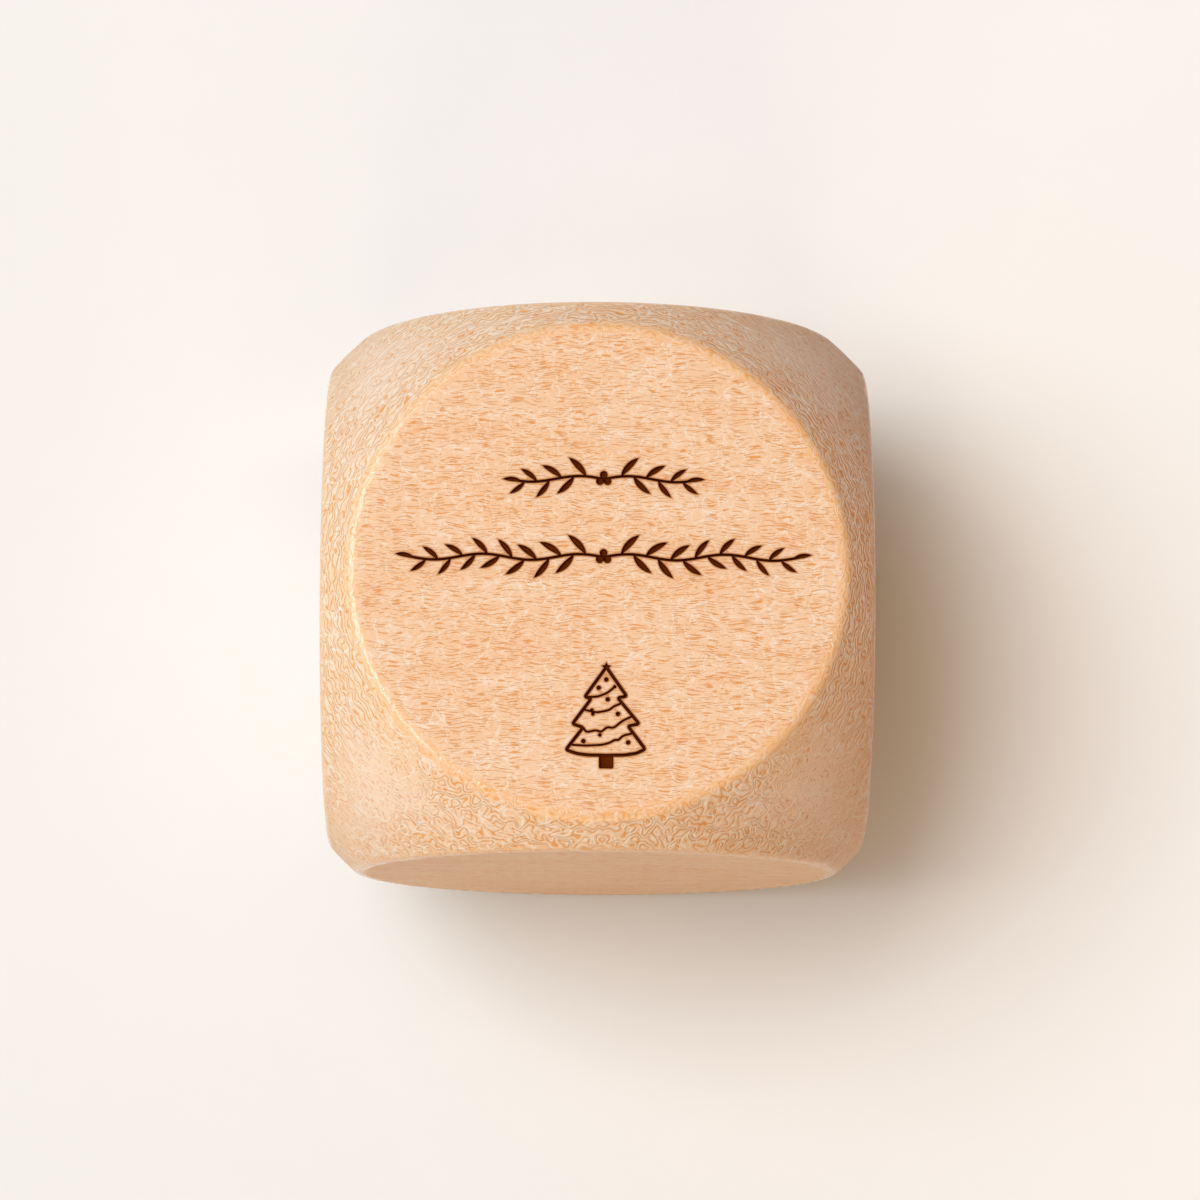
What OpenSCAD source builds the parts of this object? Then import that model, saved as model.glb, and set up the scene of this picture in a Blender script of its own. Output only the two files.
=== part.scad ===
// Wooden die: one piece of beech, a cube turned down to a ball at its corners so that each
// face is left as a round flat. The upper face is engraved: a Christmas tree below two leafy
// sprigs. The die stands on the middle of its lower face, and the engraving reads along +X.

/* [Die] */
// Distance between opposite flat faces
face_to_face = 30; // [28.4:0.1:40]
// Diameter of each round flat face, measured as if its rim were sharp
flat_d = 26.8; // [25.4:0.1:28.4]
// Radius of the rounded rim around each flat face
rim_r = 0.8; // [0.3:0.1:1.6]

/* [Engraving] */
// Depth of every engraved line and field
cut_depth = 0.2; // [0.1:0.05:0.6]
// Width of the tree's outline
outline_w = 0.18; // [0.12:0.01:0.3]
// Width of the swags on the tree
swag_w = 0.12; // [0.08:0.01:0.2]
// Width of the sprigs' stems
stem_w = 0.15; // [0.1:0.01:0.25]

/* [Tree] */
// Distance from the middle of the face down to the tip of the tree
tree_drop = 5.3; // [4:0.05:6.2]
// Distance of the tree's middle line to the right of the middle of the face
tree_shift = 0.47; // [-2:0.01:2]
// Height of the tree from its tip to the corners of its lowest tier
tree_h = 4.45; // [3:0.05:5.5]
// Width of the tree across the corners of its lowest tier
tree_w = 4.05; // [3:0.05:6]
// Height of the trunk below the corners of the lowest tier
trunk_h = 1; // [0.5:0.05:1.3]
// Width of the trunk
trunk_w = 0.77; // [0.3:0.01:1.2]
// Diameter of the star over its points
star_d = 0.54; // [0.3:0.02:0.9]
// Diameter of each bauble
bauble_d = 0.25; // [0.15:0.01:0.4]
// How far a swag hangs below the straight line between its ends
swag_sag = 0.25; // [0.05:0.01:0.35]

/* [Sprigs] */
// Length of the upper sprig
upper_sprig_l = 10.9; // [6:0.1:16]
// Length of the lower sprig
lower_sprig_l = 22.4; // [12:0.1:23.4]
// Distance of the upper sprig's stem above the middle of the face
upper_sprig_y = 4.9; // [4:0.05:7]
// Distance of the lower sprig's stem above the middle of the face
lower_sprig_y = 0.65; // [-1:0.05:1.5]
// Distance of both sprigs' middles to the right of the middle of the face
sprig_shift = 0.3; // [-1:0.05:1]
// Length of a full-grown leaf
leaf_l = 1.5; // [0.8:0.05:2.2]
// Width of a full-grown leaf
leaf_w = 0.36; // [0.2:0.01:0.6]
// Angle between a leaf and its stem
leaf_angle = 42; // [20:1:70]
// Distance along the stem from one leaf to the next one on the other side
leaf_pitch = 0.66; // [0.5:0.01:1.5]
// Height of the stem's wave
wave_h = 0.16; // [0:0.01:0.4]
// Length of one whole wave of the stem
wave_l = 5.2; // [3:0.1:12]
// Diameter of each berry
berry_d = 0.42; // [0.2:0.02:0.8]

/* [Hidden] */
$fn = 128;

// The ball that rounds the corners passes through the sharp rims of all six faces.
half = face_to_face / 2;
ball_r = norm([half, flat_d / 2]);

// Middle of the rim's rounding: its distance along the face's own axis from the middle of the
// die, and its distance out from that axis. The rounding touches both the flat and the ball.
rim_z = half - rim_r;
rim_x = sqrt(pow(ball_r - rim_r, 2) - pow(rim_z, 2));

// How far a cut starts outside the wood
cut_over = 1;

// Corners and notches of the tiers from the tip down: share of the height, share of the half width
tree_side = [[0, 0], [0.35, 0.52], [0.38, 0.34], [0.68, 0.85], [0.72, 0.59], [1, 1]];
// How far the hem of the lowest tier hangs at its middle, as a share of the height
hem_sag = 0.07;
// Swags: shares of the height at the left and the right end, and how far along its bead hangs
swags = [[0.355, 0.225, 0.9], [0.53, 0.44, 0.2], [0.74, 0.6, 0.4], [0.94, 0.8, 0.75]];
// How far along a swag its lowest pull lies
swag_pull = 0.4;
// Baubles: share of the half width to the right, and share of the height below the tip
baubles = [[0, 0.15], [-0.2, 0.25], [0.04, 0.39], [0.31, 0.565], [-0.6, 0.895], [0.58, 0.91]];
// Width of the burnt spot where the outline turns, against the outline's own width
turn_spot = 1.15;
// Inner corners of the star, as a share of its outer radius
star_waist = 0.46;

// Straight pieces in one bend, and in one whole wave of a stem
bend_steps = 10;
wave_steps = 12;
// Bare stem between a sprig's middle and its first leaf, in leaf pitches
bare_pitches = 1.4;
// Size of the last leaf of a sprig against a full-grown one
last_leaf = 0.7;
// Share of a leaf's width that its rounder edge takes up
leaf_belly = 0.72;
// Distance from a sprig's middle to the middle of each of its three berries, in berry diameters
berry_ring = 0.56;

// Point of a curve from a to c that is pulled towards b, by its share of the way
function bend_point(a, b, c, t) = pow(1 - t, 2) * a + 2 * t * (1 - t) * b + t * t * c;

function bend(a, b, c) = [for (i = [0 : bend_steps]) bend_point(a, b, c, i / bend_steps)];

// Direction of a row of points at point i, as a unit vector
function heading(points, i) =
  let (step = points[min(i + 1, len(points) - 1)] - points[max(i - 1, 0)])
  step / norm(step);

// The row of points that runs a given distance to the left of another one
function beside(points, gap) =
  [for (i = [0 : len(points) - 1]) let (h = heading(points, i)) points[i] + gap * [-h.y, h.x]];

function reversed(points) = [for (i = [len(points) - 1 : -1 : 0]) points[i]];

// A line of even width through a row of points
module line(points, width)
  polygon(concat(beside(points, width / 2), reversed(beside(points, -width / 2))));

module dot(place, d)
  translate(place) circle(d = d);

// ---- The turned body ----

// The wood that comes off the ball to leave one flat face with its rounded rim
module face_cut() {
  reach = (ball_r + cut_over) / rim_z;
  rotate_extrude() difference() {
    polygon([[0, rim_z], [rim_x, rim_z], reach * [rim_x, rim_z], [0, reach * rim_z]]);
    square([rim_x, half]);
    translate([rim_x, rim_z]) circle(r = rim_r);
  }
}

module turned_body()
  translate([0, 0, half]) difference() {
    sphere(r = ball_r);
    for (turn = [0 : 90 : 270]) rotate([turn, 0, 0]) face_cut();
    for (turn = [-90, 90]) rotate([0, turn, 0]) face_cut();
  }

// ---- The Christmas tree, with its tip at the origin ----

// A point of the tree, by its share of the half width and its share of the height
function on_tree(across, down) = [across * tree_w / 2, -down * tree_h];

// A point on the tree's left (-1) or right (1) side, by its share of the height
function on_side(side, down) = on_tree(side * lookup(down, tree_side), down);

module outline() {
  turns = len(tree_side) - 1;
  for (side = [-1, 1], i = [1 : turns]) {
    line([on_side(side, tree_side[i - 1][0]), on_side(side, tree_side[i][0])], outline_w);
    dot(on_side(side, tree_side[i][0]), outline_w * turn_spot);
  }
  // The pull point of a bend lies twice as deep as the bend itself.
  line(bend(on_side(-1, 1), on_tree(0, 1 + 2 * hem_sag), on_side(1, 1)), outline_w);
}

module trunk() {
  hem_y = -(1 + hem_sag) * tree_h;
  translate([-trunk_w / 2, -tree_h - trunk_h]) square([trunk_w, hem_y + tree_h + trunk_h]);
}

module star()
  polygon([for (i = [0 : 9]) star_d / 2 * (i % 2 == 0 ? 1 : star_waist) * [sin(36 * i), cos(36 * i)]]);

module swag(left_down, right_down, bead_at) {
  left = on_side(-1, left_down);
  right = on_side(1, right_down);
  pull = left + swag_pull * (right - left) - [0, 2 * swag_sag];
  line(bend(left, pull, right), swag_w);
  dot(bend_point(left, pull, right, bead_at) - [0, bauble_d / 2], bauble_d);
}

module tree() {
  outline();
  trunk();
  star();
  for (s = swags) swag(s[0], s[1], s[2]);
  for (b = baubles) dot(on_tree(b[0], b[1]), bauble_d);
}

// ---- A leafy sprig, grown from its middle to both sides ----

function stem_point(x) = [x, wave_h * sin(360 * x / wave_l)];

function stem_angle(x) = atan(2 * PI * wave_h / wave_l * cos(360 * x / wave_l));

// Radius of the round edge that bulges by a given height over a leaf's length
function edge_r(length, bulge) = (length * length / 4 + bulge * bulge) / (2 * bulge);

// A leaf along +X between two round edges that meet in a point at both ends
module leaf(size) {
  l = leaf_l * size;
  belly = leaf_w * size * leaf_belly;
  back = leaf_w * size - belly;
  intersection() {
    translate([l / 2, belly - edge_r(l, belly)]) circle(r = edge_r(l, belly));
    translate([l / 2, edge_r(l, back) - back]) circle(r = edge_r(l, back));
  }
}

// Half of a sprig, towards +X, with its leaves to the left and the right in turn
module twig(length) {
  tip = length - leaf_l * last_leaf;
  stem_l = tip + 2 * stem_w;
  first = bare_pitches * leaf_pitch;
  steps = ceil(wave_steps * stem_l / wave_l);
  line([for (i = [0 : steps]) stem_point(stem_l * i / steps)], stem_w);
  for (i = [0 : floor((tip - first) / leaf_pitch)]) {
    x = first + i * leaf_pitch;
    side = i % 2;
    translate(stem_point(x)) rotate(stem_angle(x))
      mirror([0, side]) rotate(leaf_angle) leaf(1 - (1 - last_leaf) * x / tip);
  }
  translate(stem_point(tip)) rotate(stem_angle(tip)) leaf(last_leaf);
}

module sprig(length) {
  for (side = [0, 1]) mirror([side, 0]) twig(length / 2);
  for (turn = [0 : 120 : 240]) rotate(turn) dot([0, berry_ring * berry_d], berry_d);
}

// ---- The engraved face ----

module engraving()
  translate([0, 0, face_to_face - cut_depth]) linear_extrude(cut_depth + cut_over) {
    translate([tree_shift, -tree_drop]) tree();
    translate([sprig_shift, upper_sprig_y]) sprig(upper_sprig_l);
    translate([sprig_shift, lower_sprig_y]) sprig(lower_sprig_l);
  }

module die() difference() {
  color("burlywood") turned_body();
  color("saddlebrown") engraving();
}

die();
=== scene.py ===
"""Looks of the wooden die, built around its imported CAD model.

The whole die is one mesh: the turned body with its rounded rims, five plain flats, and the
upper flat with its burnt engraving cut in as real grooves. It has four zones: planed long
grain, end grain, the turned ball and the charred grooves. Each zone has its own material, all
made the same way. They take the grain from the place in the block, and the scorch and char
from the distance to the engraving, which the mesh carries.
"""

import math

import bmesh
import bpy
import numpy as np
from mathutils import Matrix, Vector
from mathutils.geometry import delaunay_2d_cdt


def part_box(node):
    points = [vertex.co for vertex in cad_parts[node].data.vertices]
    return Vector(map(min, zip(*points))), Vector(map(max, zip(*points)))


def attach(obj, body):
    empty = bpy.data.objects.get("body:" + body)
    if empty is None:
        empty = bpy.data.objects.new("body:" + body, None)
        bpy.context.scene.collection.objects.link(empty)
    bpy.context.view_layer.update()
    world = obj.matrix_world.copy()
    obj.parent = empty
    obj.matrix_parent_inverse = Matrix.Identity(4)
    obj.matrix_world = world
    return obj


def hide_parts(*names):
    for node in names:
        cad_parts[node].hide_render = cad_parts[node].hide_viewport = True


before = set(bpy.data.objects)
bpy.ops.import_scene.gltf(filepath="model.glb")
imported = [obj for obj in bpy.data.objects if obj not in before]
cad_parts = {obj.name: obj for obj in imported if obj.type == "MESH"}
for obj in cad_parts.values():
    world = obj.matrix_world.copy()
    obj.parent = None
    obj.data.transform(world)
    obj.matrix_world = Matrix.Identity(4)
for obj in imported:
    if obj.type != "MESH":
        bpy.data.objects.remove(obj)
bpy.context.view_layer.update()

# ---- Sizes, in millimetres like the CAD source; the mesh is scaled to metres at the end ----

MM = 0.001
low_corner, high_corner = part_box("die")
HALF = (high_corner.z - low_corner.z) / MM / 2
FLAT_D = 26.8
RIM_R = 0.8
BALL_R = math.hypot(HALF, FLAT_D / 2)
RIM_Z = HALF - RIM_R
RIM_X = math.sqrt((BALL_R - RIM_R) ** 2 - RIM_Z**2)

# Engraving
CUT_DEPTH = 0.2
OUTLINE_W = 0.18
SWAG_W = 0.12
STEM_W = 0.15
BURN_WALL = 0.085  # how far in from its edge a burnt groove reaches its full depth

# Tree. Its places are shares of half its width to the right of the tip and of its height below
TREE_TIP = (0.47, -5.3)
TREE_H = 4.45
TREE_W = 4.05
TRUNK_H = 1.0
TRUNK_W = 0.77
TRUNK_START = 0.067
TRUNK_CORNER = 0.09
STAR_D = 0.54
STAR_WAIST = 0.52
BAUBLE_D = 0.25
BEAD_D = 0.2
# Outline from the tip down the right side, along the hem and up the left side
TREE_OUTLINE = [
    (0, 0), (0.54, 0.352), (0.3, 0.37), (0.87, 0.685), (0.575, 0.712), (1.03, 0.99),
    (0.8, 1.04), (0.5, 1.062), (0, 1.067), (-0.5, 1.062), (-0.78, 1.045), (-1.06, 1),
    (-0.605, 0.73), (-0.89, 0.688), (-0.395, 0.382), (-0.57, 0.362),
]
OUTLINE_ROUNDING = 0.14
SWAG_ROUNDING = 0.2
# Garlands from left to right, and the beads on them
SWAGS = [
    [(-0.5, 0.36), (-0.24, 0.36), (0.02, 0.315), (0.23, 0.235)],
    [(-0.6, 0.515), (-0.24, 0.55), (0.08, 0.52), (0.19, 0.475), (0.38, 0.44)],
    [(-0.59, 0.74), (-0.53, 0.79), (-0.26, 0.76), (-0.13, 0.79), (0.02, 0.72), (0.19, 0.74),
     (0.42, 0.65), (0.66, 0.6)],
    [(-0.9, 0.94), (-0.53, 0.95), (-0.11, 0.94), (0.1, 0.915), (0.23, 0.875), (0.33, 0.885),
     (0.42, 0.83), (0.7, 0.8)],
]
BEADS = [(0.22, 0.237), (-0.38, 0.52), (-0.35, 0.567), (-0.167, 0.82)]
BAUBLES = [(0, 0.15), (-0.2, 0.25), (0.04, 0.39), (0.31, 0.565), (-0.6, 0.895), (0.58, 0.91)]

# Sprigs
UPPER_SPRIG = ((0.3, 4.9), 10.9)  # middle, length
LOWER_SPRIG = ((0.3, 0.65), 22.4)
LEAF_L = 1.5
LEAF_W = 0.36
LEAF_ANGLE = math.radians(42)
LEAF_PITCH = 0.66
LEAF_BELLY = 0.72
LAST_LEAF = 0.7
BARE_PITCHES = 1.4
WAVE_H = 0.16
WAVE_L = 5.2
BERRY_D = 0.42
BERRY_RING = 0.56

# Mesh density
ROUND_STEPS = 192  # points round each flat, a multiple of 8
RIM_STEPS = 6
BALL_STEPS = 10
BEND_STEPS = 6
STEM_POINTS = 60
FIELD_STEP = 0.025  # grid on which the engraving's distance is worked out
FAR = 0.7  # distance from the engraving beyond which nothing of it shows
CLEAR = FAR - 0.01  # distance taken as beyond it
FIELD_MARGIN = 1.3 * FAR
LEVELS = (0.6, 0.3, 0.14, 0.05, 0.0, -0.03, -0.06, -BURN_WALL)
OUTLINE_TOLERANCE = 0.003
TIE_NUDGE = 1e-9  # decides between outline points that lie equally far off
FILL_STEP = 1.1  # spacing of the mesh's points on plain flats
WELD_REACH = 1e-4
SHARP_ANGLE = math.radians(45)  # edges that turn more than this stay sharp


# ---- The engraving as a distance field ----


class Field:
    """Signed distance to the engraved shapes on a grid: negative inside them."""

    def __init__(self, low, high):
        self.x = np.arange(low[0], high[0], FIELD_STEP)
        self.y = np.arange(low[1], high[1], FIELD_STEP)
        self.distance = np.full((len(self.y), len(self.x)), FAR)

    def stamp(self, low, high, shape):
        """Adds a shape, given as a function of x and y, whose own box is low to high."""
        i = np.searchsorted(self.y, (low[1] - FAR, high[1] + FAR))
        j = np.searchsorted(self.x, (low[0] - FAR, high[0] + FAR))
        window = (slice(*i), slice(*j))
        x, y = np.meshgrid(self.x[window[1]], self.y[window[0]])
        self.distance[window] = np.minimum(self.distance[window], shape(x, y))

    def line(self, points, width):
        for a, b in zip(points, points[1:]):
            low = np.minimum(a, b) - width / 2
            high = np.maximum(a, b) + width / 2
            self.stamp(low, high, lambda x, y: from_segment(x, y, a, b) - width / 2)

    def dot(self, middle, diameter):
        r = diameter / 2
        low, high = np.subtract(middle, r), np.add(middle, r)
        self.stamp(low, high, lambda x, y: np.hypot(x - middle[0], y - middle[1]) - r)


def from_segment(x, y, a, b):
    """Distance to the straight line from a to b, which may be a single point."""
    dx, dy = b[0] - a[0], b[1] - a[1]
    square = max(dx * dx + dy * dy, 1e-12)
    t = np.clip(((x - a[0]) * dx + (y - a[1]) * dy) / square, 0, 1)
    return np.hypot(x - a[0] - t * dx, y - a[1] - t * dy)


def from_polygon(x, y, points):
    """Signed distance to a closed polygon, negative inside."""
    near = np.full(x.shape, np.inf)
    inside = np.zeros(x.shape, bool)
    for a, b in zip(points, points[1:] + points[:1]):
        near = np.minimum(near, from_segment(x, y, a, b))
        if a[1] != b[1]:
            crossing = a[0] + (y - a[1]) * (b[0] - a[0]) / (b[1] - a[1])
            inside ^= ((a[1] > y) != (b[1] > y)) & (x < crossing)
    return np.where(inside, -near, near)


def bend(a, b, c):
    """Points on a smooth bend from a to c, which is pulled toward b."""
    shares = [i / BEND_STEPS for i in range(BEND_STEPS + 1)]
    return [(1 - t) ** 2 * a + 2 * t * (1 - t) * b + t * t * c for t in shares]


# ---- The Christmas tree ----


def on_tree(across, down):
    return np.array((TREE_TIP[0] + across * TREE_W / 2, TREE_TIP[1] - down * TREE_H))


def rounded(points, reach):
    """The path with its corners replaced by bends, which start up to reach before them."""
    path = [points[0]]
    for a, b, c in zip(points, points[1:], points[2:]):
        before, after = a - b, c - b
        start = b + before * min(0.5, reach / np.hypot(*before))
        end = b + after * min(0.5, reach / np.hypot(*after))
        path += bend(start, b, end)
    return path + [points[-1]]


def draw_tree(field):
    outline = [on_tree(*place) for place in TREE_OUTLINE + TREE_OUTLINE[:1]]
    field.line(rounded(outline, OUTLINE_ROUNDING), OUTLINE_W)
    star = [
        np.array(TREE_TIP) + STAR_D / 2 * (1 if i % 2 == 0 else STAR_WAIST)
        * np.array((math.sin(i * math.pi / 5), math.cos(i * math.pi / 5)))
        for i in range(10)
    ]
    field.stamp(np.min(star, 0), np.max(star, 0), lambda x, y: from_polygon(x, y, star))
    for swag in SWAGS:
        field.line(rounded([on_tree(*place) for place in swag], SWAG_ROUNDING), SWAG_W)
    for across, down in BEADS:
        field.dot(on_tree(across, down), BEAD_D)
    for across, down in BAUBLES:
        field.dot(on_tree(across, down), BAUBLE_D)
    draw_trunk(field)


def draw_trunk(field):
    top = on_tree(0, 1 + TRUNK_START)[1]
    bottom = TREE_TIP[1] - TREE_H - TRUNK_H
    middle = (TREE_TIP[0], (top + bottom) / 2)
    half = (TRUNK_W / 2 - TRUNK_CORNER, (top - bottom) / 2 - TRUNK_CORNER)

    def rounded_block(x, y):
        over_x, over_y = np.abs(x - middle[0]) - half[0], np.abs(y - middle[1]) - half[1]
        outside = np.hypot(np.maximum(over_x, 0), np.maximum(over_y, 0))
        return outside + np.minimum(np.maximum(over_x, over_y), 0) - TRUNK_CORNER

    reach = np.array((TRUNK_W, top - bottom)) / 2
    field.stamp(middle - reach, middle + reach, rounded_block)


# ---- The leafy sprigs ----


def stem_point(x):
    return np.array((x, WAVE_H * math.sin(2 * math.pi * x / WAVE_L)))


def stem_angle(x):
    return math.atan(2 * math.pi * WAVE_H / WAVE_L * math.cos(2 * math.pi * x / WAVE_L))


def edge_r(length, bulge):
    return (length * length / 4 + bulge * bulge) / (2 * bulge)


def draw_leaf(field, root, angle, flip, mirror, size):
    """A leaf between two round edges. flip puts its rounder edge below, mirror turns it to -X."""
    length = LEAF_L * size
    belly = LEAF_W * size * LEAF_BELLY
    back = LEAF_W * size - belly
    cos, sin = math.cos(angle), math.sin(angle)
    belly_r, back_r = edge_r(length, belly), edge_r(length, back)

    def shape(x, y):
        dx, dy = (x - root[0]) * mirror, y - root[1]
        along = dx * cos + dy * sin - length / 2
        up = (dy * cos - dx * sin) * flip
        outer = np.hypot(along, up + belly_r - belly) - belly_r
        inner = np.hypot(along, up - back_r + back) - back_r
        return np.maximum(outer, inner)

    field.stamp(root - length, root + length, shape)


def draw_sprig(field, middle, length):
    middle = np.array(middle)
    tip = length / 2 - LEAF_L * LAST_LEAF
    first = BARE_PITCHES * LEAF_PITCH
    for mirror in (-1, 1):
        turn = np.array((mirror, 1))
        reach = np.linspace(0, tip + 2 * STEM_W, STEM_POINTS)
        field.line([middle + turn * stem_point(x) for x in reach], STEM_W)
        for i in range(int((tip - first) / LEAF_PITCH) + 1):
            x = first + i * LEAF_PITCH
            side = 1 if i % 2 == 0 else -1
            angle = stem_angle(x) + side * LEAF_ANGLE
            size = 1 - (1 - LAST_LEAF) * x / tip
            draw_leaf(field, middle + turn * stem_point(x), angle, side, mirror, size)
        draw_leaf(field, middle + turn * stem_point(tip), stem_angle(tip), 1, mirror, LAST_LEAF)
    for i in range(3):
        turn = 2 * math.pi * i / 3
        ring = BERRY_RING * BERRY_D * np.array((-math.sin(turn), math.cos(turn)))
        field.dot(middle + ring, BERRY_D)


def engraving_fields():
    """One field for each motif, with its margin round it."""
    tree_low = (TREE_TIP[0] - TREE_W / 2, TREE_TIP[1] - TREE_H - TRUNK_H)
    tree_high = (TREE_TIP[0] + TREE_W / 2, TREE_TIP[1] + STAR_D / 2)
    tree = Field(np.subtract(tree_low, FIELD_MARGIN), np.add(tree_high, FIELD_MARGIN))
    draw_tree(tree)
    fields = [tree]
    for middle, length in (UPPER_SPRIG, LOWER_SPRIG):
        reach = np.array((length / 2, WAVE_H + LEAF_L * math.sin(LEAF_ANGLE)))
        sprig = Field(middle - reach - FIELD_MARGIN, middle + reach + FIELD_MARGIN)
        draw_sprig(sprig, middle, length)
        fields.append(sprig)
    return fields


# ---- Outlines at chosen distances from the engraving ----


ALL, BUT_LAST, BUT_FIRST = slice(None), slice(None, -1), slice(1, None)


def contour_loops(field, level):
    """Closed rows of points where the field has the given level."""
    points, across, upward = level_crossings(field, level)
    links = cell_links(across, upward)
    loops = []
    while links:
        loops.append(np.array([points[n] for n in used_up_loop(links)]))
    return [loop for loop in loops if len(loop) > 3]


def level_crossings(field, level):
    """Points where the grid's lines reach the level, and their numbers on each step, or -1."""
    d = field.distance - level
    inside = d < 0
    points = []
    numbers = []
    steps_across = ((ALL, BUT_LAST), (ALL, BUT_FIRST), (FIELD_STEP, 0))
    steps_upward = ((BUT_LAST, ALL), (BUT_FIRST, ALL), (0, FIELD_STEP))
    for first, second, step in (steps_across, steps_upward):
        cut = inside[first] != inside[second]
        number = np.full(cut.shape, -1)
        number[cut] = np.arange(cut.sum()) + len(points)
        i, j = np.nonzero(cut)
        t = d[first][cut] / (d[first][cut] - d[second][cut])
        points += list(zip(field.x[j] + t * step[0], field.y[i] + t * step[1]))
        numbers.append(number)
    return points, *numbers


def cell_links(across, upward):
    """For each numbered point, the points that it is joined to inside the grid's cells."""
    sides = np.stack([across[:-1], upward[:, 1:], across[1:], upward[:, :-1]])
    links = {}
    for i, j in zip(*np.nonzero((sides >= 0).sum(0))):
        ends = [e for e in sides[:, i, j] if e >= 0]
        for a, b in zip(ends[::2], ends[1::2]):
            links.setdefault(a, []).append(b)
            links.setdefault(b, []).append(a)
    return links


def used_up_loop(links):
    """The numbers round one closed loop, whose links are taken out."""
    start = next(iter(links))
    loop, here = [start], start
    while links.get(here):
        step = links[here].pop()
        links[step].remove(here)
        loop.append(step)
        here = step
    for number in set(loop):
        if not links.get(number):
            links.pop(number, None)
    return loop[:-1]


def simplified(loop):
    """The loop with only the points that its shape needs."""
    keep = np.zeros(len(loop), bool)
    far = int(np.argmax(np.hypot(*(loop - loop[0]).T)))
    keep[[0, far]] = True
    stack = [(0, far), (far, len(loop))]
    while stack:
        a, b = stack.pop()
        if b - a < 2:
            continue
        start, end = loop[a], loop[b % len(loop)]
        away = from_segment(loop[a + 1:b, 0], loop[a + 1:b, 1], start, end + TIE_NUDGE)
        if away.max() > OUTLINE_TOLERANCE:
            middle = a + 1 + int(away.argmax())
            keep[middle] = True
            stack += [(a, middle), (middle, b)]
    return loop[keep]


# ---- The mesh ----


def linked(name, data):
    """A new object of the scene."""
    obj = bpy.data.objects.new(name, data)
    bpy.context.collection.objects.link(obj)
    return obj


def circle_points(radius):
    turn = 2 * math.pi * np.arange(ROUND_STEPS) / ROUND_STEPS
    return radius * np.stack([np.cos(turn), np.sin(turn)], 1)


def fill_points(clear_of):
    """An even net of points inside a flat, away from what clear_of says is taken."""
    rows = int(RIM_X / FILL_STEP) + 1
    found = []
    for row in range(-rows, rows + 1):
        for column in range(-rows, rows + 1):
            p = FILL_STEP * np.array((column + row % 2 / 2, row * math.sqrt(3) / 2))
            if np.hypot(*p) < RIM_X - FILL_STEP / 2 and not clear_of(p):
                found.append(p)
    return np.array(found)


def triangulate(points, edges):
    out = delaunay_2d_cdt([Vector(p) for p in points], edges, [], 0, 1e-5)
    return np.array([tuple(v) for v in out[0]]), [tuple(f) for f in out[2]]


def closed_edges(start, count):
    """Edges round a closed row of points, whose numbers begin at start."""
    return [(start + k, start + (k + 1) % count) for k in range(count)]


def plain_flat():
    """Points (x, y, depth 0, distance to engraving) and triangles of a flat with no engraving."""
    points = np.concatenate([circle_points(RIM_X), fill_points(lambda p: False)])
    points, faces = triangulate(points, closed_edges(0, ROUND_STEPS))
    return np.column_stack([points, np.zeros(len(points)), np.full(len(points), FAR)]), faces


def groove_depth(distance):
    """Depth of the burnt groove at a signed distance from its edge."""
    inward = np.clip(-distance / BURN_WALL, 0, 1)
    return CUT_DEPTH * np.sin(inward * math.pi / 2)


def nearest(fields, p):
    """Distance from a point to the engraving, read from the fields."""
    for field in fields:
        if field.x[0] < p[0] < field.x[-1] and field.y[0] < p[1] < field.y[-1]:
            i = int(round((p[1] - field.y[0]) / FIELD_STEP))
            j = int(round((p[0] - field.x[0]) / FIELD_STEP))
            return field.distance[min(i, len(field.y) - 1), min(j, len(field.x) - 1)]
    return FAR


def engraved_flat():
    """The upper flat: outlines at each level, joined into one triangle net."""
    fields = engraving_fields()
    points = list(circle_points(RIM_X))
    edges = closed_edges(0, ROUND_STEPS)
    for field in fields:
        for level in LEVELS:
            for loop in contour_loops(field, level):
                loop = simplified(loop)
                edges += closed_edges(len(points), len(loop))
                points += list(loop)
    points += list(fill_points(lambda p: nearest(fields, p) < CLEAR))
    points, faces = triangulate(points, edges)
    distance = np.array([nearest(fields, p) for p in points])
    snapped = np.array(LEVELS)[np.abs(distance[:, None] - np.array(LEVELS)).argmin(1)]
    distance = np.where(distance < CLEAR, snapped, FAR)
    return np.column_stack([points, -groove_depth(distance), distance]), faces


def rim_and_ball():
    """Rings from the edge of a flat, over its rim and out to the cube's edges on the ball."""
    rings = []
    touch = math.atan2(RIM_X, RIM_Z)
    cos, sin = circle_points(1).T
    for k in range(1, RIM_STEPS + 1):
        tilt = touch * k / RIM_STEPS
        out, up = RIM_X + RIM_R * math.sin(tilt), RIM_Z + RIM_R * math.cos(tilt)
        rings.append(np.column_stack([out * cos, out * sin, np.full(ROUND_STEPS, up)]))
    inner = math.tan(touch)
    outer = 1 / np.maximum(np.abs(cos), np.abs(sin))
    for k in range(1, BALL_STEPS + 1):
        reach = inner + (outer - inner) * k / BALL_STEPS
        aim = np.column_stack([reach * cos, reach * sin, np.ones(ROUND_STEPS)])
        rings.append(BALL_R * aim / np.linalg.norm(aim, axis=1)[:, None])
    return rings


PLANED, END, TURNED, CHARRED = range(4)  # zones of the surface, each with its own material
FACE_TURNS = [
    Matrix.Identity(3),
    Matrix.Rotation(math.pi, 3, "X"),
    Matrix.Rotation(math.pi / 2, 3, "X"),
    Matrix.Rotation(-math.pi / 2, 3, "X"),
    Matrix.Rotation(math.pi / 2, 3, "Y"),
    Matrix.Rotation(-math.pi / 2, 3, "Y"),
]


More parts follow.
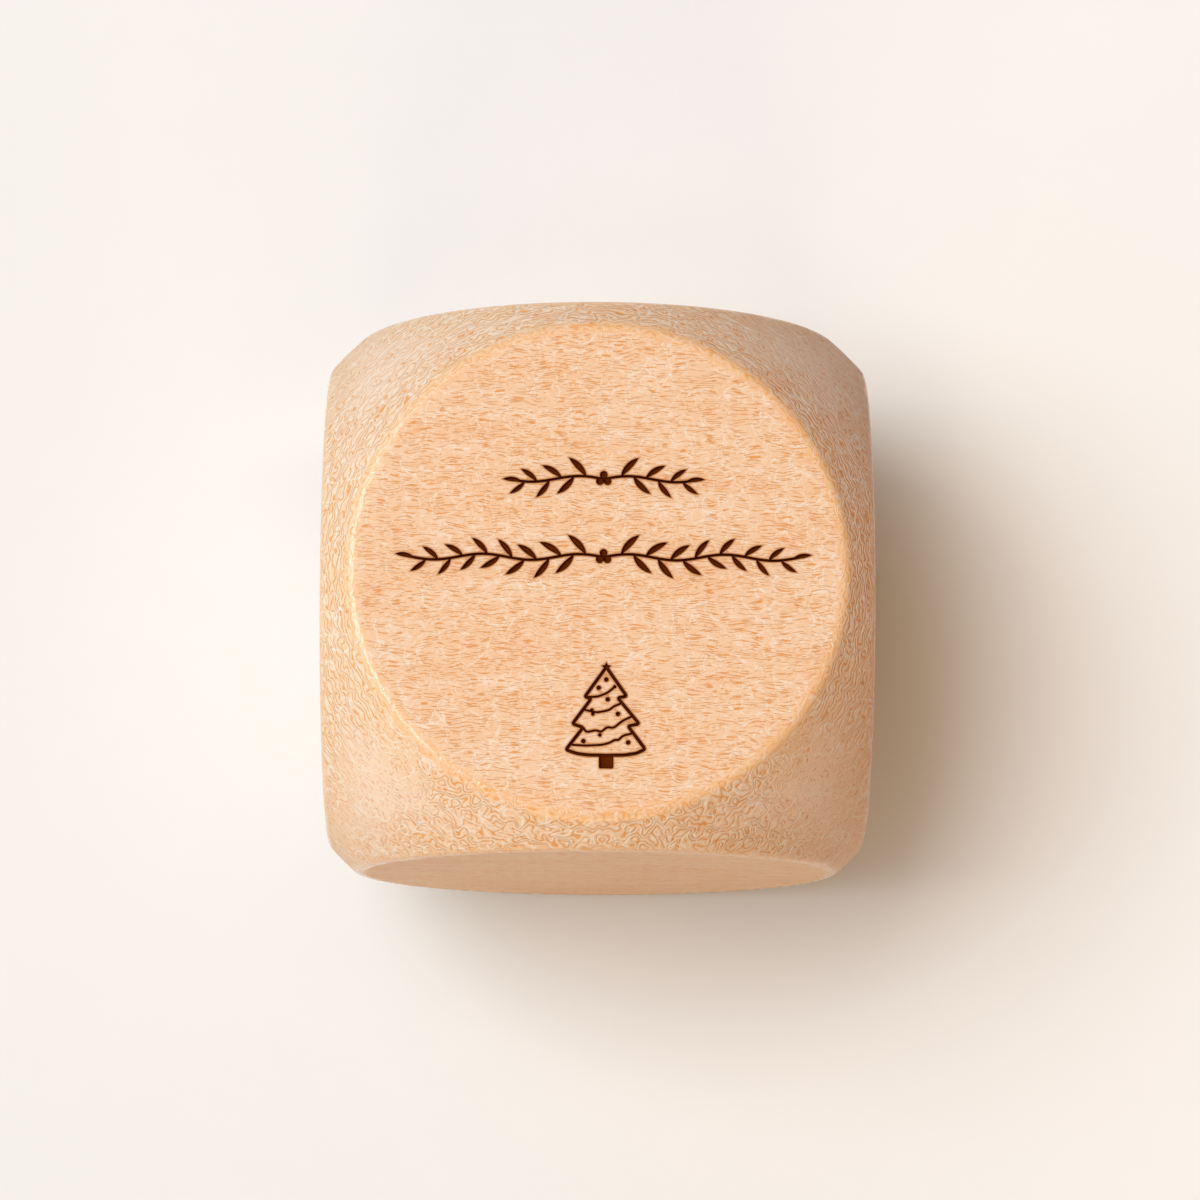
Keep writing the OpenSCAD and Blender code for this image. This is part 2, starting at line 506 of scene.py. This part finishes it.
def build_die():
    places, distances, faces, zones = [], [], [], []
    plain, engraved = plain_flat(), engraved_flat()
    rings = rim_and_ball()
    for number, turn in enumerate(FACE_TURNS):
        flat, flat_faces = engraved if number == 0 else plain
        start = sum(len(p) for p in places)
        local = np.concatenate([flat[:, :3] + (0, 0, HALF)] + rings)
        places.append(local @ np.array(turn).T + (0, 0, HALF))
        distances.append(np.concatenate([flat[:, 3], np.full(len(rings) * ROUND_STEPS, FAR)]))
        squares = ring_faces(start, flat)
        faces += [tuple(start + i for i in f) for f in flat_faces] + squares
        zones += flat_zones(turn, flat, flat_faces) + [TURNED] * len(squares)
    mesh = bpy.data.meshes.new("die")
    mesh.from_pydata((np.concatenate(places) * MM).tolist(), [], faces)
    add_attribute(mesh, "cut_distance", np.concatenate(distances))
    mesh.polygons.foreach_set("material_index", zones)
    die = linked("turned_die", mesh)
    weld(die)
    mesh.shade_smooth()
    mesh.set_sharp_from_angle(angle=SHARP_ANGLE)
    return die


def flat_zones(turn, flat, flat_faces):
    """The zone of each triangle of a flat: ends face along X, and the engraving is charred."""
    wood = END if abs(turn[0][2]) > 0.5 else PLANED
    return [CHARRED if flat[list(f), 3].max() <= 0 else wood for f in flat_faces]


def ring_faces(start, flat):
    """Squares from a flat's edge outwards over the rings, whose points follow the flat's."""
    faces = []
    inner = [start + i for i in ring_order(flat)]
    for k in range(RIM_STEPS + BALL_STEPS):
        outer = [start + len(flat) + k * ROUND_STEPS + i for i in range(ROUND_STEPS)]
        for i in range(ROUND_STEPS):
            j = (i + 1) % ROUND_STEPS
            faces.append((inner[i], outer[i], outer[j], inner[j]))
        inner = outer
    return faces


def ring_order(flat):
    """Indexes of the flat's edge points, in the order of circle_points."""
    order = []
    for p in circle_points(RIM_X):
        order.append(int(np.argmin(np.hypot(*(flat[:, :2] - p).T))))
    return order


def add_attribute(mesh, name, values):
    layer = mesh.attributes.new(name, "FLOAT", "POINT")
    layer.data.foreach_set("value", values.astype(np.float32))


def weld(obj):
    """Joins the six faces' shells where they meet on the ball."""
    bm = bmesh.new()
    bm.from_mesh(obj.data)
    bmesh.ops.remove_doubles(bm, verts=bm.verts, dist=WELD_REACH * MM)
    bmesh.ops.recalc_face_normals(bm, faces=bm.faces)
    bm.to_mesh(obj.data)
    bm.free()


# ---- Materials ----


class Graph:
    """Short calls for building the nodes of one material."""

    def __init__(self, material):
        self.tree = material.node_tree

    def node(self, kind, inputs=(), **settings):
        """A node of a kind, with its settings and its inputs by name, as values or as sockets."""
        node = self.tree.nodes.new("ShaderNode" + kind)
        for name, value in settings.items():
            setattr(node, name, value)
        for name, value in dict(inputs).items():
            self.feed(node.inputs[name], value)
        return node

    def feed(self, socket, value):
        if isinstance(value, bpy.types.NodeSocket):
            self.tree.links.new(value, socket)
        else:
            socket.default_value = value

    def math(self, operation, *values):
        return self.node("Math", enumerate(values), operation=operation).outputs[0]

    def vector(self, operation, *values):
        node = self.node("VectorMath", operation=operation)
        for number, value in enumerate(values):
            single = operation == "SCALE" and number == 1
            self.feed(node.inputs["Scale"] if single else node.inputs[number], value)
        number_out = operation in ("LENGTH", "DOT_PRODUCT")
        return node.outputs["Value" if number_out else "Vector"]

    def join(self, x, y, z):
        return self.node("CombineXYZ", {"X": x, "Y": y, "Z": z}).outputs[0]

    def split(self, place):
        return self.node("SeparateXYZ", {"Vector": place}).outputs

    def ramp(self, value, start, end, low=0.0, high=1.0):
        """A smooth step from low at start to high at end."""
        sockets = {"Value": value, "From Min": start, "From Max": end}
        sockets.update({"To Min": low, "To Max": high})
        return self.node("MapRange", sockets, interpolation_type="SMOOTHSTEP").outputs[0]

    def noise(self, place, scale=1.0, detail=0.0, flat=False, colour=False):
        sockets = {"Vector": place, "Scale": scale, "Detail": detail}
        node = self.node("TexNoise", sockets, noise_dimensions="2D" if flat else "3D")
        return node.outputs["Color" if colour else "Fac"]

    def cells(self, place, flat=False):
        sockets = {"Vector": place, "Scale": 1.0}
        return self.node("TexVoronoi", sockets, voronoi_dimensions="2D" if flat else "3D").outputs

    def mix(self, share, a, b):
        node = self.node("Mix", data_type="RGBA")
        for number, value in ((0, share), (6, a), (7, b)):
            if isinstance(value, tuple):
                value = (*value, 1)
            self.feed(node.inputs[number], value)
        return node.outputs[2]

    def attribute(self, name):
        return self.node("Attribute", attribute_name=name).outputs["Fac"]

    def warped(self, place, amount, scale, flat=False):
        """The place, moved to and fro by up to about half the amount."""
        noise = self.noise(place, scale, flat=flat, colour=True)
        shift = self.vector("SUBTRACT", noise, (0.5, 0.5, 0.5))
        return self.vector("ADD", place, self.vector("MULTIPLY", shift, amount))

    def total(self, *parts):
        """The sum of values, each with its share."""
        total = 0.0
        for value, share in parts:
            total = self.math("MULTIPLY_ADD", value, share, total)
        return total


# Wood, in linear colours
BEECH = (0.86, 0.52, 0.285)
BEECH_DARK = (0.78, 0.29, 0.053)
BEECH_PALE = (0.89, 0.66, 0.47)
BEECH_CORNER = (0.9, 0.6, 0.395)  # paler wood far from the flats
CORNER_CALM = 0.3  # share of the grain's contrast that is lost there
WOOD_ROUGHNESS = 0.55
PLANED_RELIEF = 0.006  # millimetres by which the grain stands out
END_RELIEF = 0.01
TURNED_RELIEF = 0.022

# Millimetres outwards from a flat over which the looks of a rim set in and stop, and a corner's
RIM_STARTS, RIM_STOPS, CORNER_STARTS = (0.1, 0.3), (1.0, 0.6), (1.0, 5.0)

# Cut rims: warmer, calmer, shinier and smoother than the rest
RIM_GLOW = (0.9, 0.46, 0.15)
RIM_GLOW_SHARE = 0.34
RIM_CALM = 0.2
RIM_SHINE = 0.37
RIM_SMOOTHNESS = 0.7

# Burn: colours, the distances from the groove's edge over which each sets in, and its share
BURN = [
    ((0.66, 0.38, 0.2), 0.45, 0.0, 0.22),  # haze
    ((0.56, 0.2, 0.035), 0.1, 0.02, 1.0),  # scorch
    ((0.065, 0.0055, 0.0003), 0.02, -0.02, 1.0),  # char at the edge
    ((0.108, 0.017, 0.0005), -0.03, -0.08, 1.0),  # char on the groove's floor
]
CHAR_SHINE = 0.02
CHAR_ROUGHNESS = 1.0


def streaks(g, place, size, level, soft=0.1, flat=False):
    """Short uneven strokes where a noise stretched to size falls below a level."""
    height = g.noise(g.vector("DIVIDE", place, size), detail=1.0, flat=flat)
    return g.ramp(g.math("SUBTRACT", level, height), 0.0, soft)


def arcs(g, place, size, radius, width, share, shift=0.0, flat=False):
    """Thin pale hooks and loops: parts of a circle in a share of cells of a given size."""
    spot = g.vector("ADD", g.vector("SCALE", place, 1 / size), (shift, 2 * shift, 3 * shift))
    cell = g.cells(spot, flat)
    off = g.math("ABSOLUTE", g.math("SUBTRACT", cell["Distance"], radius / size))
    line = g.ramp(off, width / size, 0.3 * width / size)
    kept = g.ramp(g.split(cell["Color"])[0], 1 - share + 0.02, 1 - share - 0.02)
    return g.math("MULTIPLY", line, g.math("SUBTRACT", 1.0, kept))


def lines(g, place, across, spacing, size, swirl, flat=False):
    """A wave from -1 to 1 over level lines a spacing apart, which sway and close into loops."""
    sway = g.noise(g.vector("DIVIDE", place, size), flat=flat)
    phase = g.math("MULTIPLY_ADD", across, 1 / spacing, g.math("MULTIPLY", sway, swirl))
    return g.math("SINE", g.math("MULTIPLY", phase, 2 * math.pi))


def planed_grain(g, place):
    """Tone and height of planed long grain, which is calmer on the front and back flats."""
    x, y, z = g.split(place)
    across = g.math("ADD", y, z)
    level = g.warped(g.join(x, across, 0.0), (0.6, 0.28, 0.0), 0.9, flat=True)
    crowd = g.ramp(g.noise(level, 0.8, flat=True), 0.3, 0.7, 0.355, 0.395)
    stroke = streaks(g, level, size=(0.8, 0.062, 1.0), level=crowd, soft=0.06, flat=True)
    fibre = lines(g, level, across, spacing=0.21, size=(0.6, 0.25, 1.0), swirl=2.4, flat=True)
    patches = g.ramp(g.noise(level, 1.6, flat=True), 0.4, 0.6)
    pale = g.math("MULTIPLY", g.ramp(fibre, 0.2, 1.0), patches)
    groove = g.ramp(fibre, -0.4, -1.0)
    curl = g.warped(g.join(x, across, 0.0), (0.6, 0.6, 0.0), 1.3, flat=True)
    wide = arcs(g, curl, size=1.3, radius=0.7, width=0.05, share=0.8, flat=True)
    narrow = arcs(g, curl, size=0.9, radius=0.46, width=0.045, share=0.6, shift=4.7, flat=True)
    hair = g.math("MAXIMUM", wide, narrow)
    growth = g.noise(g.vector("DIVIDE", level, (9.0, 1.0, 1.0)), flat=True)
    dents = g.math("MULTIPLY", stroke, -1.45)
    tone = g.total((dents, 1.0), (groove, -0.35), (pale, 0.5), (hair, 0.65))
    upright = g.ramp(g.math("ABSOLUTE", y), HALF - 1.5, HALF - 0.5)
    tone = g.math("MULTIPLY", tone, g.math("MULTIPLY_ADD", upright, -0.35, 1.0))
    return g.math("ADD", tone, g.ramp(growth, 0.3, 0.7, -0.14, 0.14)), dents


def end_grain(g, place):
    """Tone and height of the two ends of the block: pores between level growth lines."""
    y, z = g.split(place)[1:]
    pores = streaks(g, g.join(y, z, 0.0), size=(0.16, 0.16, 1.0), level=0.36, flat=True)
    growth = g.noise(g.join(g.math("MULTIPLY", y, 0.06), z, 0.0), 1.1, flat=True)
    fibre = lines(g, g.join(y, z, 0.0), z, spacing=0.3, size=(0.6, 0.4, 1.0), swirl=2.5, flat=True)
    height = g.math("MULTIPLY", pores, -0.6)
    return g.total((height, 1.0), (g.ramp(growth, 0.4, 0.65), -0.25), (fibre, 0.15)), height


def turned_grain(g, place):
    """Tone and height of the turned ball: curly strokes along level circles, rounder in front."""
    x, y, z = g.split(place)
    out = g.math("MAXIMUM", g.vector("LENGTH", g.join(x, y, 0.0)), 0.1)
    down = g.math("MULTIPLY", g.math("ARCTAN2", out, g.math("SUBTRACT", z, HALF)), BALL_R)
    level = g.join(g.math("DIVIDE", x, out), g.math("DIVIDE", y, out), 0.0)
    level = g.vector("ADD", g.vector("SCALE", level, RIM_X), g.join(0.0, 0.0, down))
    level = g.warped(level, (0.5, 0.5, 0.3), 0.9)
    stroke = streaks(g, level, size=(0.4, 0.4, 0.085), level=0.365, soft=0.08)
    along = lines(g, level, down, spacing=0.28, size=(0.5, 0.5, 0.35), swirl=2.6)
    swayed = g.warped(place, (0.3, 0.3, 0.3), 1.6)
    around = lines(g, swayed, down, spacing=0.55, size=(0.58, 0.58, 0.58), swirl=4.5)
    front = g.ramp(g.math("DIVIDE", y, out), -0.5, -0.85)
    wave = g.total((around, front), (along, g.math("SUBTRACT", 1.0, front)))
    curl = g.warped(place, (0.7, 0.7, 0.7), 1.1)
    narrow = arcs(g, curl, size=1.3, radius=0.62, width=0.05, share=0.8)
    wide = arcs(g, curl, size=2.6, radius=1.3, width=0.055, share=0.9, shift=2.3)
    hair = g.math("MAXIMUM", narrow, wide)
    height = g.total((g.ramp(wave, 0.3, 1.0), 0.6), (g.ramp(wave, -0.6, -1.0), -0.8))
    tone = g.total((height, 1.0), (stroke, -0.85), (hair, 0.85))
    return g.math("MULTIPLY", tone, g.ramp(z, 8.0, 16.0, 0.65, 1.0)), height


def from_rim(g, place):
    """Millimetres outwards from where the nearest flat turns into its rounded rim."""
    aim = g.vector("NORMALIZE", g.vector("SUBTRACT", place, (0.0, 0.0, HALF)))
    x, y, z = g.split(g.vector("ABSOLUTE", aim))
    tilt = g.math("ARCCOSINE", g.math("MAXIMUM", x, g.math("MAXIMUM", y, z)))
    return g.math("MULTIPLY_ADD", tilt, BALL_R, -BALL_R * math.atan2(RIM_X, HALF))


def burnt(g, colour):
    """The colour, scorched round the engraving and charred inside it."""
    cut = g.attribute("cut_distance")
    for burn, start, end, share in BURN:
        colour = g.mix(g.ramp(cut, start, end, 0.0, share), colour, burn)
    return colour


def beech_colour(g, place, tone, on_rim, in_corner):
    """Beech darkened and lightened by the tone, by soft clouds and by fine grit."""
    cloud = g.noise(place, 0.45, 1.0)
    grit = g.noise(place, 10.0)
    shade = g.math("ADD", g.total((tone, 1.0), (cloud, 0.4), (grit, 0.6)), -0.5)
    colour = g.mix(in_corner, BEECH, BEECH_CORNER)
    colour = g.mix(g.ramp(shade, 0.0, -1.0), colour, BEECH_DARK)
    colour = g.mix(g.ramp(shade, 0.0, 1.0), colour, BEECH_PALE)
    return g.mix(g.math("MULTIPLY", on_rim, RIM_GLOW_SHARE), colour, RIM_GLOW)


def beech_material(name, grain, relief, engraved=False, charred=False):
    """Beech with a grain, whose height of 1 stands out by the relief in millimetres."""
    material = bpy.data.materials.new(name)
    material.use_nodes = True
    g = Graph(material)
    shader = material.node_tree.nodes["Principled BSDF"]
    place = g.vector("SCALE", g.node("TexCoord").outputs["Object"], 1 / MM)
    rim = g.math("MULTIPLY_ADD", g.noise(place, 1.4), 0.6, from_rim(g, place))
    on_rim = g.math("MULTIPLY", g.ramp(rim, *RIM_STARTS), g.ramp(rim, *RIM_STOPS))
    in_corner = g.ramp(rim, *CORNER_STARTS)
    tone, height = grain(g, place)
    calm = g.total((on_rim, RIM_CALM), (in_corner, CORNER_CALM))
    tone = g.math("MULTIPLY", tone, g.math("SUBTRACT", 1.0, calm))
    colour = beech_colour(g, place, tone, on_rim, in_corner)
    g.feed(shader.inputs["Base Color"], burnt(g, colour) if engraved else colour)
    if charred:
        shader.inputs["Roughness"].default_value = CHAR_ROUGHNESS
        shader.inputs["Specular IOR Level"].default_value = CHAR_SHINE
    else:
        roughness = g.math("MULTIPLY_ADD", on_rim, -RIM_SHINE, WOOD_ROUGHNESS)
        g.feed(shader.inputs["Roughness"], roughness)
    strength = g.math("MULTIPLY_ADD", on_rim, -RIM_SMOOTHNESS, 1.0)
    bump = g.node("Bump", {"Height": height, "Distance": relief * MM, "Strength": strength})
    g.feed(shader.inputs["Normal"], bump.outputs["Normal"])
    return material


def beech_materials():
    """The materials in the order of the mesh's zones: PLANED, END, TURNED and CHARRED."""
    return [
        beech_material("planed_beech", planed_grain, PLANED_RELIEF, engraved=True),
        beech_material("end_grain_beech", end_grain, END_RELIEF),
        beech_material("turned_beech", turned_grain, TURNED_RELIEF),
        beech_material("charred_beech", planed_grain, PLANED_RELIEF, engraved=True, charred=True),
    ]


# ---- Stage ----

CAMERA_AZIMUTH = math.radians(-2.142)
CAMERA_ELEVATION = math.radians(81.545)
CAMERA_ROLL = math.radians(2.348)
CAMERA_DISTANCE = 282.6
CAMERA_TARGET = Vector((0.199, 0.555, HALF))
SENSOR = 36
FOCAL = 4993 / 1200 * SENSOR  # 4993 pixels of the photo's 1200


def add_camera():
    data = bpy.data.cameras.new("camera")
    data.sensor_width = SENSOR
    data.lens = FOCAL
    data.clip_start, data.clip_end = 0.01, 10
    camera = linked("camera", data)
    e, a = CAMERA_ELEVATION, CAMERA_AZIMUTH
    back = Vector((math.sin(a) * math.cos(e), -math.cos(a) * math.cos(e), math.sin(e)))
    right = (-back).cross(Vector((0, 0, 1))).normalized()
    up = back.cross(right)
    turned_right = right * math.cos(CAMERA_ROLL) + up * math.sin(CAMERA_ROLL)
    turned_up = up * math.cos(CAMERA_ROLL) - right * math.sin(CAMERA_ROLL)
    spin = Matrix((turned_right, turned_up, back)).transposed()
    place = (CAMERA_TARGET + back * CAMERA_DISTANCE) * MM
    camera.matrix_world = Matrix.Translation(place) @ spin.to_4x4()
    bpy.context.scene.camera = camera


FLOOR_SIZE = 1.5  # metres from the middle to a side
FLOOR_Z = -0.02 * MM  # just under the die, so that its lower flat doesn't share the floor's plane
PAPER = (0.72, 0.685, 0.65)
# The paper's glow is seen and mirrored, but it lights nothing
PAPER_GLOW = (0.086, 0.08, 0.05)
FAR_PAINTED_LIGHT = (0.13, 0.105, 0.082)  # painted light, added away from the die, most on the side away from the key, where it lightens the die's shadow
BACK_PAINTED_LIGHT = (0.105, 0.075, 0.042)  # painted light, added close behind the die, where it lightens the die's shade
GLOW_START, GLOW_END = 16, 30  # millimetres from the middle over which one gives way to the other
FROM_KEY, BACKWARDS = (0.87, 0.5, 0.0), (-0.1, 0.99, 0.0)


def paper_material():
    """Smooth pale paper, with a faint unevenness, and painted light that lightens the die's shadow
    away from the key and its shade close behind it.
    """
    material = bpy.data.materials.new("paper")
    material.use_nodes = True
    g = Graph(material)
    shader = material.node_tree.nodes["Principled BSDF"]
    place = g.vector("SCALE", g.node("TexCoord").outputs["Object"], 1 / MM)
    pulp = g.noise(place, 0.3, 3.0)
    white = g.mix(pulp, tuple(c * 0.99 for c in PAPER), tuple(c * 1.01 for c in PAPER))
    g.feed(shader.inputs["Base Color"], white)
    shader.inputs["Roughness"].default_value = 0.9
    far = g.ramp(g.vector("LENGTH", place), GLOW_START, GLOW_END)
    near = g.ramp(far, 1.0, 0.0)
    side = g.ramp(g.vector("DOT_PRODUCT", place, FROM_KEY), -30, 20, 0.3, 1.0)
    behind = g.ramp(g.vector("DOT_PRODUCT", place, BACKWARDS), 11, 16)
    glow = PAPER_GLOW
    # Painted light: the far and back glows lighten the die's shadow and shade on the paper
    for share, limit, colour in ((side, far, FAR_PAINTED_LIGHT), (behind, near, BACK_PAINTED_LIGHT)):
        share = g.math("MULTIPLY", share, limit)
        glow = g.vector("MULTIPLY_ADD", g.join(share, share, share), colour, glow)
    g.feed(shader.inputs["Emission Color"], glow)
    ray = g.node("LightPath").outputs
    direct = g.math("MAXIMUM", ray["Is Camera Ray"], ray["Is Glossy Ray"])
    seen = g.math("MAXIMUM", direct, ray["Is Transmission Ray"])
    g.feed(shader.inputs["Emission Strength"], seen)
    return material


def add_floor():
    mesh = bpy.data.meshes.new("floor")
    s = FLOOR_SIZE
    corners = [(x, y, FLOOR_Z) for x, y in ((-s, -s), (s, -s), (s, s), (-s, s))]
    mesh.from_pydata(corners, [], [(0, 1, 2, 3)])
    floor = linked("floor", mesh)
    mesh.materials.append(paper_material())


# Softboxes: azimuth and elevation in degrees, side in metres, and how bright a white floor gets
LAMPS = {
    "key": (165, 65, 0.7, (0.689, 0.726, 0.762)),
    "front_fill": (270, 30, 0.6, (0.138, 0.118, 0.072)),
}
LAMP_DISTANCE = 1.2  # metres

# Wide soft light of the room: where its middle is, how fast it fades, how bright its middle is
ROOM_LIGHT = {
    "ceiling": ((0, 0, 1), 2, (0.335, 0.074, 0.0)),
    "window": ((-1, 0, 0.35), 2, (0.31, 0.69, 1.023)),
    "corner": ((-0.7, 0.7, 0.6), 3, (0.332, 0.528, 0.64)),
}


def add_lamp(name, azimuth, elevation, size, light):
    a, e = math.radians(azimuth), math.radians(elevation)
    aim = Vector((math.cos(e) * math.cos(a), math.cos(e) * math.sin(a), math.sin(e)))
    data = bpy.data.lights.new(name, "AREA")
    data.shape = "SQUARE"
    data.size = size
    data.energy = (math.pi * LAMP_DISTANCE) ** 2 / math.sin(e)
    data.color = light
    lamp = linked(name, data)
    lamp.location = aim * LAMP_DISTANCE
    lamp.rotation_mode = "QUATERNION"
    lamp.rotation_quaternion = aim.to_track_quat("Z", "Y")


def add_room_light():
    """Each light fades with a power of the cosine from its middle."""
    world = bpy.data.worlds.new("world")
    bpy.context.scene.world = world
    world.use_nodes = True
    g = Graph(world)
    aim = g.node("TexCoord").outputs["Generated"]
    light = (0.0, 0.0, 0.0)
    for middle, power, colour in ROOM_LIGHT.values():
        toward = g.vector("DOT_PRODUCT", aim, Vector(middle).normalized())
        share = g.math("POWER", g.math("MAXIMUM", toward, 0.0), power)
        light = g.vector("MULTIPLY_ADD", g.join(share, share, share), colour, light)
    g.feed(world.node_tree.nodes["Background"].inputs["Color"], light)


# ---- Build ----

add_camera()
add_floor()
add_room_light()
for name, settings in LAMPS.items():
    add_lamp(name, *settings)
die = build_die()
for material in beech_materials():
    die.data.materials.append(material)
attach(die, "root")
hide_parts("die")
bpy.context.scene.view_settings.view_transform = "Standard"
